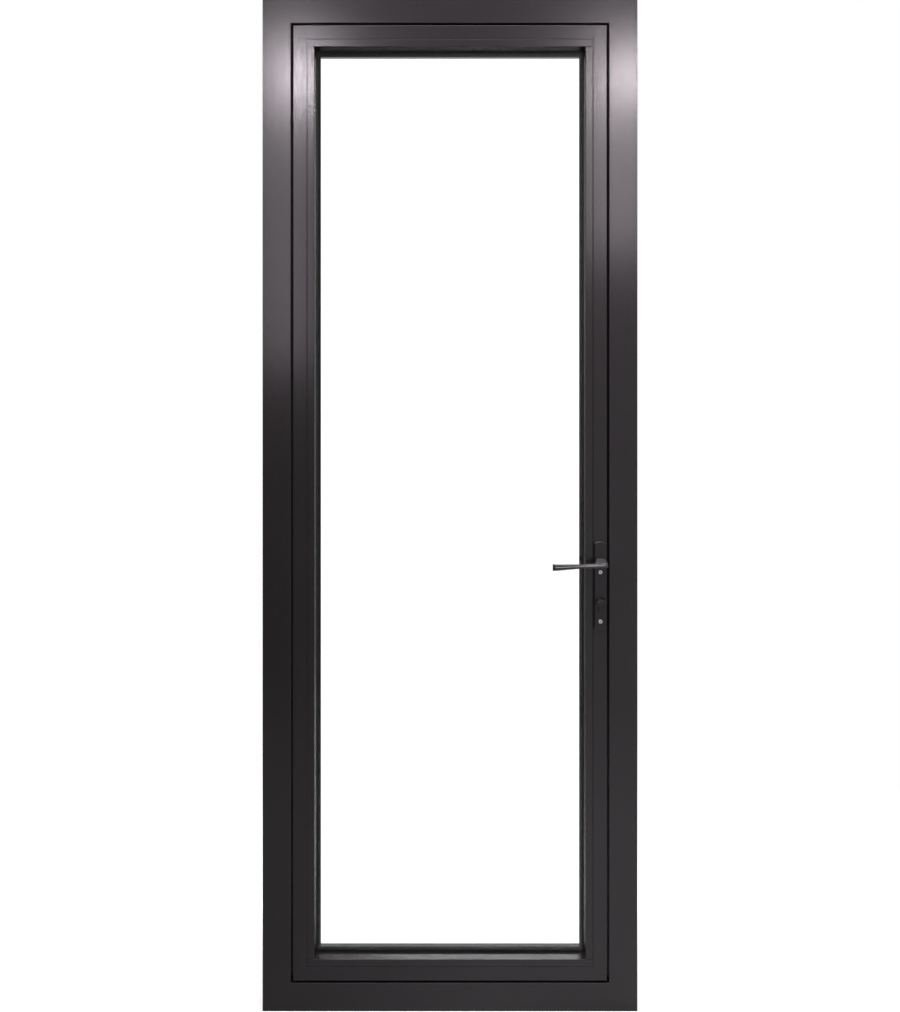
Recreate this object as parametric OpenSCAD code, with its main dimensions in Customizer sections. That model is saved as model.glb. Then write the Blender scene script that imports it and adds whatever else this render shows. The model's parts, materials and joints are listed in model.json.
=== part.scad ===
// Glazed aluminium entry door in its frame: outward-opening leaf with a lever inside, a fixed knob
// outside, mortice lock, thumb-turn cylinder and three barrel hinges on the outside.
// X runs to the right seen from inside, Y from inside to outside, Z up.
// The origin is under the frame, at mid-width and mid-depth.

/* [Overall] */
// Outer width of the frame
frame_w = 900; // [760:10:1150]
// Outer height of the frame
frame_h = 2440; // [2000:10:2700]
// Depth of frame and leaf through the wall
door_depth = 70; // [68:1:84]

/* [Frame profile] */
// Width of the frame's face on the inside
frame_face = 68; // [60:1:80]
// Dark joint between frame and leaf
shadow_gap = 5.5; // [5:0.5:8]
// How far the stop leg reaches in front of the leaf
stop_lap = 22; // [18:1:26]
// Depth of the stop leg
stop_depth = 20; // [18:1:23]
// Space for the seal between stop and leaf
seal_gap = 2; // [1.6:0.1:3]
// Wall of the extrusions
wall = 2; // [1.6:0.1:2.4]
// Rounding of the outer edges
edge_r = 1; // [0.6:0.1:1.4]
// Middle of the web in the frame's outer chambers, from mid-depth
web_y = 20; // [19:0.5:24]
// Length of each leg of a corner cleat
cleat_leg = 95; // [80:1:120]
// Window in a cleat
cleat_window = 26; // [16:1:30]
// Clearance of a cleat in its chamber
cleat_clear = 0.2; // [0.1:0.05:0.3]
// Fixing hole through a jamb, radius
fixing_r = 4.25; // [3:0.25:5.5]
// Lowest and highest fixing from the frame's end
fixing_end = 180; // [160:10:260]
// Spacing of the two fixings of a pair
fixing_pair = 640; // [500:10:740]

/* [Leaf profile] */
// Width of the leaf's flat face beside the bead
leaf_face = 33; // [31:0.5:38]
// Width of the bead's face
bead_face = 18; // [16:0.5:24]
// Depth of the bead
bead_depth = 20; // [19:0.5:24]
// How far the bead's inner side leans towards the glass
bead_slope = 3.5; // [2:0.25:5]
// Wall of the bead
bead_wall = 1.6; // [1.2:0.1:2]
// Heel of the bead beside the glass edge
bead_heel = 7; // [5:0.5:8]
// Fine joint round each bead
bead_joint = 0.6; // [0.3:0.05:0.8]
// Rounding of the edges along the bead's joint
joint_r = 0.7; // [0.4:0.1:1]
// How far the outer leg reaches past the bead's edge
leg_lap = 7.5; // [6:0.5:12]
// Depth of the outer leg
leg_depth = 20; // [18:0.5:23]
// Width of the hardware groove in the leaf's edge
hw_w = 24.4; // [22:0.2:26]
// Depth of the hardware groove
hw_d = 2.5; // [2:0.1:3]
// Middle of the bead's clip groove behind the inside face
clip_back = 9; // [8:0.5:10]
// Width of the clip groove
clip_w = 3; // [2.6:0.1:3.6]
// Depth of the clip groove
clip_deep = 3; // [2.6:0.1:3.4]
// Undercut of the clip groove
clip_hook = 1.4; // [1:0.1:1.8]
// Clearance of the clip
clip_clear = 0.25; // [0.15:0.05:0.35]

/* [Seals and glass] */
// Mouth of a seal groove
groove_mouth = 3; // [2.4:0.1:3.6]
// Width of a seal groove at its bottom
groove_head = 6; // [5:0.1:7]
// Depth of a seal groove
groove_deep = 3.2; // [3:0.1:3.8]
// Height of the wide part of a seal groove
groove_step = 1.6; // [1.4:0.1:1.8]
// Clearance of a seal's foot
foot_clear = 0.2; // [0.1:0.05:0.3]
// Width of the frame seal
seal_w = 9; // [7:0.5:11]
// What the frame seal leaves free before the leaf
seal_free = 0.3; // [0.2:0.05:0.5]
// Thickness of a pane
pane_t = 5; // [4:0.5:6]
// Thickness of a glazing gasket
gasket_t = 4; // [3:0.25:5]
// Lip of a gasket past the edge it sits on
gasket_lip = 3; // [2:0.25:4]
// Thickness of a gasket's lip
lip_t = 1.8; // [1.4:0.1:2.4]
// Clearance round the glass edge
glass_edge = 5; // [4:0.5:7]
// Height of the edge sealant
sealant_h = 4; // [3:0.5:5]
// Height of the spacer
spacer_h = 6.5; // [5:0.5:7]
// Length of a setting block
block_len = 80; // [50:5:110]

/* [Hinges] */
// Height of a hinge
hinge_h = 110; // [95:5:140]
// Centre of the end hinges from the leaf's end
hinge_end = 215; // [180:5:320]
// Radius of the knuckles
knuckle_r = 9; // [8:0.25:10]
// Height of the pin's axis over the outside face
hinge_rise = 12; // [11.5:0.25:14]
// Radius of the pin
pin_r = 4.5; // [4:0.25:5]
// Wall of the bush
bush_wall = 1.6; // [1.2:0.1:2]
// Gap between knuckles
knuckle_gap = 0.4; // [0.3:0.1:0.8]
// Share of the hinge's height in the middle knuckle
middle_share = 0.5; // [0.4:0.02:0.6]
// Thickness of a wing
wing_t = 5; // [4:0.25:6]
// Width of a wing from the pin's axis
wing_w = 38; // [36:1:44]
// Height of a pin's cap
pin_cap = 2.5; // [2:0.25:4]
// Distance of the hinge screws from the pin's axis
screw_out = 26; // [24:1:29]
// Length of a hinge screw
hinge_screw_len = 12; // [10:0.5:12.5]

/* [Handle] */
// Height of the spindle over the frame's underside
spindle_z = 1076; // [900:1:1200]
// Width of a backplate
plate_w = 30; // [28.5:0.5:31]
// Thickness of a backplate
plate_t = 9; // [8:0.25:12]
// Top of a backplate over the spindle
plate_up = 53; // [45:1:70]
// Bottom of a backplate under the spindle
plate_down = 160; // [155:1:185]
// Rise of the backplate's arched ends
plate_arch = 4.5; // [2:0.25:8]
// Softened edge of a backplate
plate_soft = 2.2; // [1:0.1:3]
// Radius of the lever's neck in its bush
neck_r = 10; // [9:0.25:10.5]
// Width of the neck's block in front of the backplate
block_x = 19; // [17:0.5:21]
// Height of the neck's block
block_z = 24; // [20:0.5:25]
// Wall of a lever bush
lever_bush_wall = 1.9; // [1.4:0.1:2.2]
// Depth of the recess for the return spring
spring_recess = 5; // [4.8:0.1:5.4]
// Wire of the return spring, radius
spring_wire = 0.55; // [0.4:0.05:0.6]
// Thickness of the circlip behind the lever's bush
ring_t = 0.8; // [0.6:0.1:1]
// Depth of the circlip's groove
ring_deep = 0.8; // [0.6:0.1:1]
// Lever from the spindle to its tip
lever_len = 118; // [95:1:140]
// Lever from the backplate to its front
lever_reach = 48; // [40:1:60]
// Thickness of the lever's bar
bar_t = 12; // [10:0.5:14]
// Full height that the bar's table of shares is taken of
bar_h = 16; // [14:0.5:18]
// Side of the square spindle
spindle_w = 8; // [7:0.5:9]
// Depth of the spindle in a lever
spindle_in = 30; // [22:1:34]
// Radius of the grub screw
grub_r = 2; // [1.5:0.25:2.5]
// Upper through screw under the spindle
screw_down = 21; // [20:1:26]
// Spacing of the through screws
screw_pitch = 118; // [116:1:126]
// Radius of the outside knob
knob_r = 25; // [21:0.5:26]
// Depth of the knob's round head
knob_head = 25; // [18:0.5:28]
// Radius of the knob's neck
knob_neck = 9; // [8:0.25:10]
// Radius of the knob's foot
knob_foot = 12; // [11:0.25:12.5]
// Stud that holds the knob, radius
stud_r = 5; // [4:0.25:6]
// Nut on the stud, radius over its corners
nut_r = 9; // [8:0.25:10]
// Height of the nut
nut_h = 4; // [3.2:0.1:4.4]

/* [Lock] */
// Cylinder under the spindle
cylinder_down = 92; // [88:1:96]
// Radius of the cylinder's round part
cyl_r = 8.5; // [8:0.1:8.8]
// Height of the cylinder's profile
cyl_h = 33; // [31:0.5:34]
// Width of the cylinder's stem
stem_w = 10; // [9:0.25:11]
// Radius of the plugs in the cylinder
plug_r = 6.5; // [6:0.1:6.8]
// What the cylinder stands out of a backplate
cyl_out = 2; // [1:0.25:4]
// Length of the thumb-turn's wing
turn_len = 26; // [22:0.5:30]
// Width of the thumb-turn's wing
turn_w = 13; // [10:0.5:15]
// What the thumb-turn's wing stands out
turn_out = 18; // [14:0.5:24]
// Tilt of the thumb-turn at rest, degrees
turn_tilt = 20; // [0:1:30]
// Thickness of the lock case
case_t = 16; // [15:0.5:18]
// Sheet of the lock case
case_wall = 1.5; // [1.2:0.1:1.8]
// Top of the lock case over the spindle
case_up = 42; // [40:1:50]
// Bottom of the lock case under the spindle
case_down = 128; // [124:1:134]
// Length of the forend past the lock case at each end
forend_past = 32; // [26:1:45]
// Free space round a sliding bolt
bolt_clear = 0.3; // [0.2:0.05:0.4]
// Thickness of the bolts
bolt_t = 9.4; // [8:0.2:9.6]
// Height of the latch's head
latch_h = 20; // [16:0.5:20.5]
// What the latch stands out of the forend
latch_out = 11.5; // [10:0.25:12]
// Length of the follower's arm
arm_r = 18; // [17:0.25:18.5]
// Tip of the follower's arm, radius
arm_tip = 3; // [2.5:0.1:3.2]
// Lean of the follower's arm at rest, degrees
arm_lean = 30; // [26:1:32]
// Height of the deadbolt's head
dead_h = 22; // [18:0.5:24]
// Length of the cam's finger
cam_r = 12; // [11.6:0.1:12.2]
// Tip of the cam's finger, radius
cam_tip = 2; // [1.6:0.1:2.1]
// Thickness of the strike plate
strike_t = 1.5; // [1:0.1:1.8]
// What the strike plate stands past its openings
strike_past = 34; // [26:1:44]

/* [Screws] */
// Shank of a screw, radius
shank_r = 2.5; // [2:0.1:2.6]
// Head of a screw, radius
head_r = 4.5; // [4:0.1:4.8]
// Height of a countersunk head
head_h = 2.2; // [1.8:0.1:2.4]
// Length of a short screw
short_screw = 14; // [10:1:18]
// Free space round a shank
shank_clear = 0.15; // [0.1:0.05:0.25]
// Width of a cross recess
cross_w = 1; // [0.8:0.1:1.2]
// Depth of a cross recess
cross_deep = 1.4; // [1:0.1:1.6]
// Hex socket of a through screw, radius over its corners
socket_r = 2; // [1.6:0.1:2.2]
// Depth of a hex socket
socket_deep = 1.8; // [1.4:0.1:2]

/* [Hidden] */

// Overrun of every cut
over = 1;
// Radial clearance of turning fits
fit = 0.05;
// Thin slice that a hull is stretched between
slice = 0.4;
// Segments of a rounded edge in a section
arc_steps = 4;
$fn = 48;

// Colours
coat = [0.055, 0.053, 0.053];
dark_rubber = [0.02, 0.02, 0.02];
clear_glass = [0.8, 0.9, 0.88, 0.25];
bare_metal = [0.72, 0.72, 0.72];
raw_alu = [0.6, 0.61, 0.62];
nylon = [0.1, 0.1, 0.1];
brass = [0.72, 0.6, 0.32];

// Depth positions
y_in = -door_depth / 2;
y_out = door_depth / 2;
stop_y = y_in + stop_depth;
step_y = stop_y + seal_gap;
bead_y = y_in + bead_depth;
leg_y = y_out - leg_depth;
pane_in_y = bead_y + gasket_t;
pane_out_y = leg_y - gasket_t;
hw_y = (step_y + y_out) / 2;
hw_top = hw_y + hw_w / 2;
hw_low = hw_y - hw_w / 2;
clip_y = y_in + clip_back;

// Positions across the frame's section, from its outer edge
out_face = frame_face - stop_lap;
seal_u = frame_face - stop_lap / 2;
block_w = groove_head + 2 * wall;
fixing_y = (stop_y + web_y) / 2;
fixing_low = fixing_end + fixing_pair / 2;
fixing_high = frame_h - fixing_low;

// Positions across the leaf's section, from its outer edge
leaf_w = frame_w - 2 * (out_face + shadow_gap);
leaf_h = frame_h - 2 * (out_face + shadow_gap);
leaf_z = out_face + shadow_gap;
rebate_u = stop_lap + leaf_face;
edge_u = rebate_u + bead_face;
back_u = edge_u + bead_slope;
leg_u = edge_u + leg_lap;
glass_u = rebate_u + glass_edge;
gasket_u = (glass_u + leg_u) / 2;

// Hinges
hinge_x = -(leaf_w + shadow_gap) / 2;
hinge_y = y_out + hinge_rise;
hinge_low = leaf_z + hinge_end;
hinge_high = leaf_z + leaf_h - hinge_end;
hinge_mid = (hinge_low + hinge_high) / 2;
hinge_zs = [hinge_low, hinge_mid, hinge_high];
middle_h = hinge_h * middle_share;
side_h = (hinge_h - middle_h) / 2 - knuckle_gap;
bush_r = pin_r + fit + bush_wall;
hinge_screw_z = hinge_h / 2 - 2 * head_r;

// Handle and lock
spindle_x = leaf_w / 2 - stop_lap - leaf_face / 2;
edge_x = leaf_w / 2;
forend_x = edge_x - hw_d;
case_back = leaf_w / 2 - rebate_u + wall + bolt_clear;
case_in_y = hw_y - case_t / 2;
case_out_y = hw_y + case_t / 2;
case_low = spindle_z - case_down;
case_high = spindle_z + case_up;
forend_low = case_low - forend_past;
forend_high = case_high + forend_past;
plate_y = y_in - plate_t;
cyl_z = spindle_z - cylinder_down;
cyl_foot = cyl_h - cyl_r;
fix_z = cyl_z - cyl_foot + stem_w / 2;
bush_hole_r = neck_r + fit + lever_bush_wall;
spring_mid_r = bush_hole_r - spring_wire;
bar_back_y = plate_y - lever_reach + bar_t;
bar_front_y = plate_y - lever_reach;
screw_zs = [spindle_z - screw_down, spindle_z - screw_down - screw_pitch];
block_y = plate_y - 2 * bolt_clear;
ring_y = y_in - spring_recess + bolt_clear;
knob_back = lever_reach - knob_head;

// Moving pieces of the lock
hub_r = spindle_w * 1.18;
journal_r = spindle_w * 0.88;
arm_x = spindle_x + arm_r * sin(arm_lean);
lug_x = arm_x - arm_tip - bolt_clear;
lug_w = arm_tip * 1.7;
latch_low = spindle_z + hub_r + bolt_clear;
latch_high = latch_low + latch_h;
latch_back = spindle_x + arm_r;
tail_low = spindle_z + arm_r + arm_tip + 2 * bolt_clear;
tail_high = tail_low + arm_tip * 1.7;
spring_end_x = latch_back - arm_tip;
spring_z = (latch_high + case_high - case_wall) / 2;
spring_coil_r = (case_high - case_wall - latch_high) * 0.28;
bolt_low_y = hw_y - bolt_t / 2;
bolt_high_y = hw_y + bolt_t / 2;
throw = 2 * cam_r * sin(45);
cam_x = spindle_x - throw / 2;
cam_space = bolt_t + 2 * bolt_clear;
cam_disc_r = cyl_r - bolt_clear;
fork_half = cam_tip + 0.25 * cam_tip;
fork_low = cyl_z + cam_disc_r + bolt_clear;
fork_top = cyl_z + cam_r + cam_tip + 2 * bolt_clear;
dead_tail_high = fork_top + 3 * cam_tip;
dead_high = fork_low + dead_h;
dead_back = spindle_x + cam_r;
dead_left = case_back + case_wall + bolt_clear;
strike_x = frame_w / 2 - out_face;
strike_low = fork_low - strike_past;
strike_high = latch_high + strike_past;

// Stations along the lever as shares of its length, with the half height and the drop of the middle as
// shares of the bar's height, and the ridge as a share of the bar's thickness
hub_shares = [[-0.105, 0.27, 0, 0.55], [-0.085, 0.36, 0, 0.85], [0, 0.41, 0, 1], [0.15, 0.38, 0.03, 1]];
bar_shares = [[0.15, 0.38, 0.03, 1], [0.32, 0.31, 0.1, 1], [0.46, 0.3, 0.14, 1], [0.74, 0.4, 0.18, 1],
  [0.95, 0.475, 0.2, 1], [1, 0.49, 0.21, 0.4]];
// Section of the bar: depth as a share of its thickness, height as a share of the half height
section_shares = [[0, -0.62], [0.2, -0.94], [0.45, -1], [0.72, -0.86], [1, 0], [0.72, 0.86], [0.45, 1],
  [0.2, 0.94], [0, 0.62]];
// Where the latch's lug ends, as a share of the arm's length
lug_share = 0.92;
// Width of the cam's finger as a share of its tip
finger_share = 0.6;
// Turns of the springs and points per turn
latch_turns = 7;
return_turns = 1.5;
turn_points = 14;
wire_points = 6;

// Points of an outline with its corners rounded
function unit(v) = v / norm(v);
function corner(a, p, b, r) = r <= 0 ? [p] : let (
  d1 = unit(a - p),
  d2 = unit(b - p),
  half = acos(d1 * d2) / 2,
  mid = p + unit(d1 + d2) * r / sin(half),
  s = p + d1 * r / tan(half) - mid,
  e = p + d2 * r / tan(half) - mid,
  turn = 180 - 2 * half
) [for (i = [0 : arc_steps])
    mid + s * sin(turn * (1 - i / arc_steps)) / sin(turn) + e * sin(turn * i / arc_steps) / sin(turn)];
function rounded(pts, rs) = [for (i = [0 : len(pts) - 1])
    each corner(pts[(i + len(pts) - 1) % len(pts)], pts[i], pts[(i + 1) % len(pts)], rs[i])];

module box2(u0, u1, v0, v1) {
  translate([u0, v0]) square([u1 - u0, v1 - v0]);
}

module box3(x0, x1, y0, y1, z0, z1) {
  translate([x0, y0, z0]) cube([x1 - x0, y1 - y0, z1 - z0]);
}

// A length along Y from y0 to y1 at x, z
module rod_y(r, x, z, y0, y1) {
  translate([x, y0, z]) rotate([-90, 0, 0]) cylinder(r = r, h = y1 - y0);
}

// A length along X from x0 to x1 at y, z
module rod_x(r, y, z, x0, x1) {
  translate([x0, y, z]) rotate([0, 90, 0]) cylinder(r = r, h = x1 - x0);
}

module rod_z(r, x, y, z0, z1) {
  translate([x, y, z0]) cylinder(r = r, h = z1 - z0);
}

// An outline in X and Z, stretched along Y from y0 to y1
module along_y(x, z, y0, y1) {
  translate([x, y1, z]) rotate([90, 0, 0]) linear_extrude(y1 - y0) children();
}

// Moves a member drawn on the left side of a w by h rectangle to a side: 0 bottom, 1 right, 2 top, 3 left
module to_side(side, w, h, z0) {
  turns = [-90, 180, 90, 0];
  starts = [[w / 2, 0, z0], [w / 2, 0, z0 + h], [-w / 2, 0, z0 + h], [-w / 2, 0, z0]];
  translate(starts[side]) rotate([0, turns[side], 0]) children();
}

// One side of a mitred rectangle; the child is the section, from the outer edge inwards
module mitred(side, w, h, z0, reach) {
  run = side % 2 == 0 ? w : h;
  to_side(side, w, h, z0) intersection() {
    linear_extrude(run) children();
    translate([0, y_out + over, 0]) rotate([90, 0, 0]) linear_extrude(door_depth + 2 * over)
      polygon([[-over, -over], [-over, run + over], [reach, run - reach], [reach, reach]]);
  }
}

// A rectangular loop with a plain section
module loop(w, h, z0, u0, u1, y0, y1) {
  difference() {
    box3(u0 - w / 2, w / 2 - u0, y0, y1, z0 + u0, z0 + h - u0);
    box3(u1 - w / 2, w / 2 - u1, y0 - over, y1 + over, z0 + u1, z0 + h - u1);
  }
}

// Groove for a seal's foot, open at y_face and running inwards along dir
module groove2(u, y_face, dir) {
  deep = y_face + dir * groove_deep;
  step = deep - dir * groove_step;
  mouth = y_face - dir * over;
  box2(u - groove_mouth / 2, u + groove_mouth / 2, min(deep, mouth), max(deep, mouth));
  box2(u - groove_head / 2, u + groove_head / 2, min(deep, step), max(deep, step));
}

// Foot of a seal in such a groove, as a loop
module foot_loop(w, h, z0, u, y_face, dir) {
  deep = y_face + dir * (groove_deep - foot_clear);
  step = y_face + dir * (groove_deep - groove_step + foot_clear);
  neck = groove_mouth / 2 - foot_clear;
  head = groove_head / 2 - foot_clear;
  root = y_face - dir * lip_t / 2;
  loop(w, h, z0, u - head, u + head, min(deep, step), max(deep, step));
  loop(w, h, z0, u - neck, u + neck, min(deep, root), max(deep, root));
}

// A tube along given points, for the springs
function tube_ring(p, t, up, r) = let (
  a = unit(cross(t, up)),
  b = cross(t, a)
) [for (i = [0 : wire_points - 1]) p + r * (a * cos(360 * i / wire_points) + b * sin(360 * i / wire_points))];

module tube(pts, up, r) {
  n = len(pts);
  last = n - 1;
  rings = [for (i = [0 : last])
      each tube_ring(pts[i], unit(pts[min(i + 1, last)] - pts[max(i - 1, 0)]), up, r)];
  walls = [for (i = [0 : last - 1]) for (j = [0 : wire_points - 1])
      let (k = (j + 1) % wire_points, low = i * wire_points, high = low + wire_points)
      each [[low + j, high + j, high + k], [low + j, high + k, low + k]]];
  start = [for (j = [0 : wire_points - 1]) j];
  end = [for (j = [wire_points - 1 : -1 : 0]) last * wire_points + j];
  polyhedron(rings, concat(walls, [start, end]));
}

// Countersunk screw along +Z with its head's face at the origin, shank towards -Z
module screw_blank(length) {
  translate([0, 0, -head_h]) cylinder(r1 = shank_r, r2 = head_r, h = head_h);
  translate([0, 0, -length]) cylinder(r = shank_r, h = length - head_h / 2);
}

module screw(length) {
  difference() {
    screw_blank(length);
    for (a = [0, 90])
      rotate([0, 0, a]) translate([-shank_r, -cross_w / 2, -cross_deep])
        cube([2 * shank_r, cross_w, cross_deep + over]);
  }
}

module socket_screw(length) {
  difference() {
    screw_blank(length);
    translate([0, 0, -socket_deep]) cylinder(r = socket_r, h = socket_deep + over, $fn = 6);
  }
}

// Room for such a screw
module screw_room(length) {
  translate([0, 0, -head_h]) cylinder(r1 = shank_r + shank_clear, r2 = head_r + shank_clear, h = head_h);
  translate([0, 0, -length - over]) cylinder(r = shank_r + shank_clear, h = length + over);
}

// Section of the frame, from its outer edge inwards
module frame_section() {
  difference() {
    polygon(rounded(
      [[0, y_in], [frame_face, y_in], [frame_face, stop_y], [out_face, stop_y], [out_face, y_out],
        [0, y_out]],
      [edge_r, edge_r, edge_r, 0, edge_r, edge_r]));
    difference() {
      box2(wall, frame_face - wall, y_in + wall, stop_y - wall);
      box2(seal_u - block_w / 2, seal_u + block_w / 2, stop_y - groove_deep - wall, stop_y);
    }
    box2(wall, out_face - wall, stop_y, web_y - wall / 2);
    box2(wall, out_face - wall, web_y + wall / 2, y_out - wall);
    groove2(seal_u, stop_y, -1);
  }
}

module frame_member(side) {
  mitred(side, frame_w, frame_h, 0, frame_face + over) frame_section();
}

// Section of the leaf, from its outer edge inwards
module leaf_section() {
  difference() {
    polygon(rounded(
      [[0, step_y], [stop_lap, step_y], [stop_lap, y_in], [rebate_u, y_in], [rebate_u, leg_y], [leg_u, leg_y],
        [leg_u, y_out], [0, y_out], [0, hw_top], [hw_d, hw_top], [hw_d, hw_low], [0, hw_low]],
      [edge_r, 0, edge_r, joint_r, 0, edge_r, edge_r, edge_r, 0, 0, 0, 0]));
    difference() {
      box2(stop_lap + wall, rebate_u - wall, y_in + wall, step_y);
      box2(rebate_u - wall - clip_deep, rebate_u, clip_y - clip_w - clip_hook, clip_y + clip_w);
    }
    box2(hw_d + wall, rebate_u - wall, step_y + wall, hw_top);
    box2(wall, rebate_u - wall, hw_top + wall, y_out - wall);
    difference() {
      box2(rebate_u, leg_u - wall, leg_y + wall, y_out - wall);
      box2(gasket_u - block_w / 2, gasket_u + block_w / 2, leg_y, leg_y + groove_deep + wall);
    }
    groove2(gasket_u, leg_y, 1);
    box2(rebate_u - clip_deep, rebate_u + over, clip_y - clip_w / 2, clip_y + clip_w / 2);
    box2(rebate_u - clip_deep, rebate_u - clip_deep / 2, clip_y - clip_w / 2 - clip_hook, clip_y);
  }
}

module leaf_member(side) {
  mitred(side, leaf_w, leaf_h, leaf_z, leg_u + over) leaf_section();
}

module leaf_loop(u0, u1, y0, y1) {
  loop(leaf_w, leaf_h, leaf_z, u0, u1, y0, y1);
}

// L-shaped cleats in the four corners of a w by h rectangle
module cleats(w, h, z0, u0, u1, y0, y1) {
  a = u0 + cleat_clear;
  b = u1 - cleat_clear;
  mid = (a + b) / 2;
  half = cleat_window / 2;
  for (sx = [0, 1]) for (sz = [0, 1])
    translate([0, 0, z0 + h / 2]) mirror([sx, 0, 0]) mirror([0, 0, sz])
      along_y(-w / 2, -h / 2, y0 + cleat_clear, y1 - cleat_clear) difference() {
        polygon([[a, a], [cleat_leg, a], [cleat_leg, b], [b, b], [b, cleat_leg], [a, cleat_leg]]);
        translate([mid, mid]) square(cleat_window, center = true);
        translate([cleat_leg - wall - half, mid]) square(cleat_window, center = true);
        translate([mid, cleat_leg - wall - half]) square(cleat_window, center = true);
      }
}

module frame_head() {
  color(coat) frame_member(2);
}

module frame_sill() {
  color(coat) frame_member(0);
}

module jamb_fixings(side) {
  x = side * frame_w / 2;
  for (m = [fixing_low, fixing_high]) for (s = [-1, 1])
    rod_x(fixing_r, fixing_y, m + s * fixing_pair / 2, min(x, x - side * out_face) - over,
      max(x, x - side * out_face) + over);
}

module frame_hinge_jamb() {
  color(coat) difference() {
    frame_member(3);
    jamb_fixings(-1);
    for (z = hinge_zs) for (s = [-1, 1])
      rod_y(shank_r + shank_clear, hinge_x - screw_out, z + s * hinge_screw_z, y_out - wall - over,
        y_out + over);
  }
}

module frame_lock_jamb() {
  color(coat) difference() {
    frame_member(1);
    jamb_fixings(1);
    bolt_room(strike_x - over, strike_x + wall + over, 3 * bolt_clear);
    for (z = strike_screw_zs())
      translate([strike_x - strike_t, hw_y, z]) rotate([0, -90, 0]) screw_room(short_screw);
  }
}

module frame_corner_cleats() {
  color(raw_alu) cleats(frame_w, frame_h, 0, wall, out_face - wall, stop_y, web_y - wall / 2);
}

module frame_seal() {
  color(dark_rubber) {
    foot_loop(frame_w, frame_h, 0, seal_u, stop_y, -1);
    loop(frame_w, frame_h, 0, seal_u - seal_w / 2, seal_u + seal_w / 2, stop_y, step_y - seal_free);
  }
}

// Room for latch and deadbolt between two planes across X
module bolt_room(x0, x1, free) {
  box3(x0, x1, bolt_low_y - free, bolt_high_y + free, latch_low - free, latch_high + free);
  box3(x0, x1, bolt_low_y - free, bolt_high_y + free, fork_low - free, dead_high + free);
}

function strike_screw_zs() = [strike_low + 2 * head_r, strike_high - 2 * head_r];

module strike_plate() {
  color(bare_metal) difference() {
    box3(strike_x - strike_t, strike_x, hw_y - hw_w / 2, hw_y + hw_w / 2, strike_low, strike_high);
    bolt_room(strike_x - strike_t - over, strike_x + over, 2 * bolt_clear);
    for (z = strike_screw_zs())
      translate([strike_x - strike_t, hw_y, z]) rotate([0, -90, 0]) screw_room(short_screw);
  }
}

module strike_screws() {
  color(bare_metal) for (z = strike_screw_zs())
    translate([strike_x - strike_t, hw_y, z]) rotate([0, -90, 0]) screw(short_screw);
}

// Hinge wing drawn on the leaf's side of the pin; the knuckles lie at the given spans
module wing(z, side, spans, others, bore) {
  difference() {
    union() {
      translate([hinge_x, y_out, z]) mirror([side < 0 ? 1 : 0, 0, 0])
        translate([shadow_gap / 2, 0, -hinge_h / 2]) cube([wing_w - shadow_gap / 2, wing_t, hinge_h]);
      for (s = spans) translate([hinge_x, y_out, z + s[0]]) linear_extrude(s[1] - s[0]) {
        translate([0, hinge_rise]) circle(knuckle_r);
        mirror([side < 0 ? 1 : 0, 0])
          polygon([[shadow_gap / 2, 0], [2 * knuckle_r, 0], [2 * knuckle_r, wing_t], [knuckle_r, hinge_rise],
            [0, hinge_rise]]);
      }
    }
    for (s = others)
      rod_z(knuckle_r + knuckle_gap, hinge_x, hinge_y, z + s[0] - knuckle_gap, z + s[1] + knuckle_gap);
    rod_z(bore, hinge_x, hinge_y, z - hinge_h / 2 - over, z + hinge_h / 2 + over);
    for (s = [-1, 1])
      translate([hinge_x + side * screw_out, y_out + wing_t, z + s * hinge_screw_z]) rotate([-90, 0, 0])
        screw_room(hinge_screw_len);
  }
}

function side_spans() = [[-hinge_h / 2, -hinge_h / 2 + side_h], [hinge_h / 2 - side_h, hinge_h / 2]];
function middle_spans() = [[-middle_h / 2, middle_h / 2]];

module hinge_frame_wing(z) {
  color(coat) wing(z, -1, side_spans(), middle_spans(), pin_r + fit);
}

module hinge_leaf_wing(z) {
  color(coat) wing(z, 1, middle_spans(), side_spans(), bush_r + fit);
}

module hinge_pin(z) {
  color(bare_metal) {
    rod_z(pin_r, hinge_x, hinge_y, z - hinge_h / 2 - pin_cap, z + hinge_h / 2 + pin_cap);
    for (s = [-1, 1])
      translate([hinge_x, hinge_y, z + s * (hinge_h + pin_cap) / 2])
        cylinder(r = knuckle_r, h = pin_cap, center = true);
  }
}

module hinge_frame_wing_bottom() {
  hinge_frame_wing(hinge_low);
}

module hinge_frame_wing_middle() {
  hinge_frame_wing(hinge_mid);
}

module hinge_frame_wing_top() {
  hinge_frame_wing(hinge_high);
}

module hinge_pin_bottom() {
  hinge_pin(hinge_low);
}

module hinge_pin_middle() {
  hinge_pin(hinge_mid);
}

module hinge_pin_top() {
  hinge_pin(hinge_high);
}

module hinge_leaf_wing_bottom() {
  hinge_leaf_wing(hinge_low);
}

module hinge_leaf_wing_middle() {
  hinge_leaf_wing(hinge_mid);
}

module hinge_leaf_wing_top() {
  hinge_leaf_wing(hinge_high);
}

module hinge_screws(side) {
  color(bare_metal) for (z = hinge_zs) for (s = [-1, 1])
    translate([hinge_x + side * screw_out, y_out + wing_t, z + s * hinge_screw_z]) rotate([-90, 0, 0])
      screw(hinge_screw_len);
}

module hinge_frame_screws() {
  hinge_screws(-1);
}

module hinge_leaf_screws() {
  hinge_screws(1);
}

module hinge_bushes() {
  color(nylon) for (z = hinge_zs) difference() {
    rod_z(bush_r, hinge_x, hinge_y, z - middle_h / 2, z + middle_h / 2);
    rod_z(pin_r + fit, hinge_x, hinge_y, z - middle_h / 2 - over, z + middle_h / 2 + over);
  }
}

module leaf_top_rail() {
  color(coat) leaf_member(2);
}

module leaf_bottom_rail() {
  color(coat) leaf_member(0);
}

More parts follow.
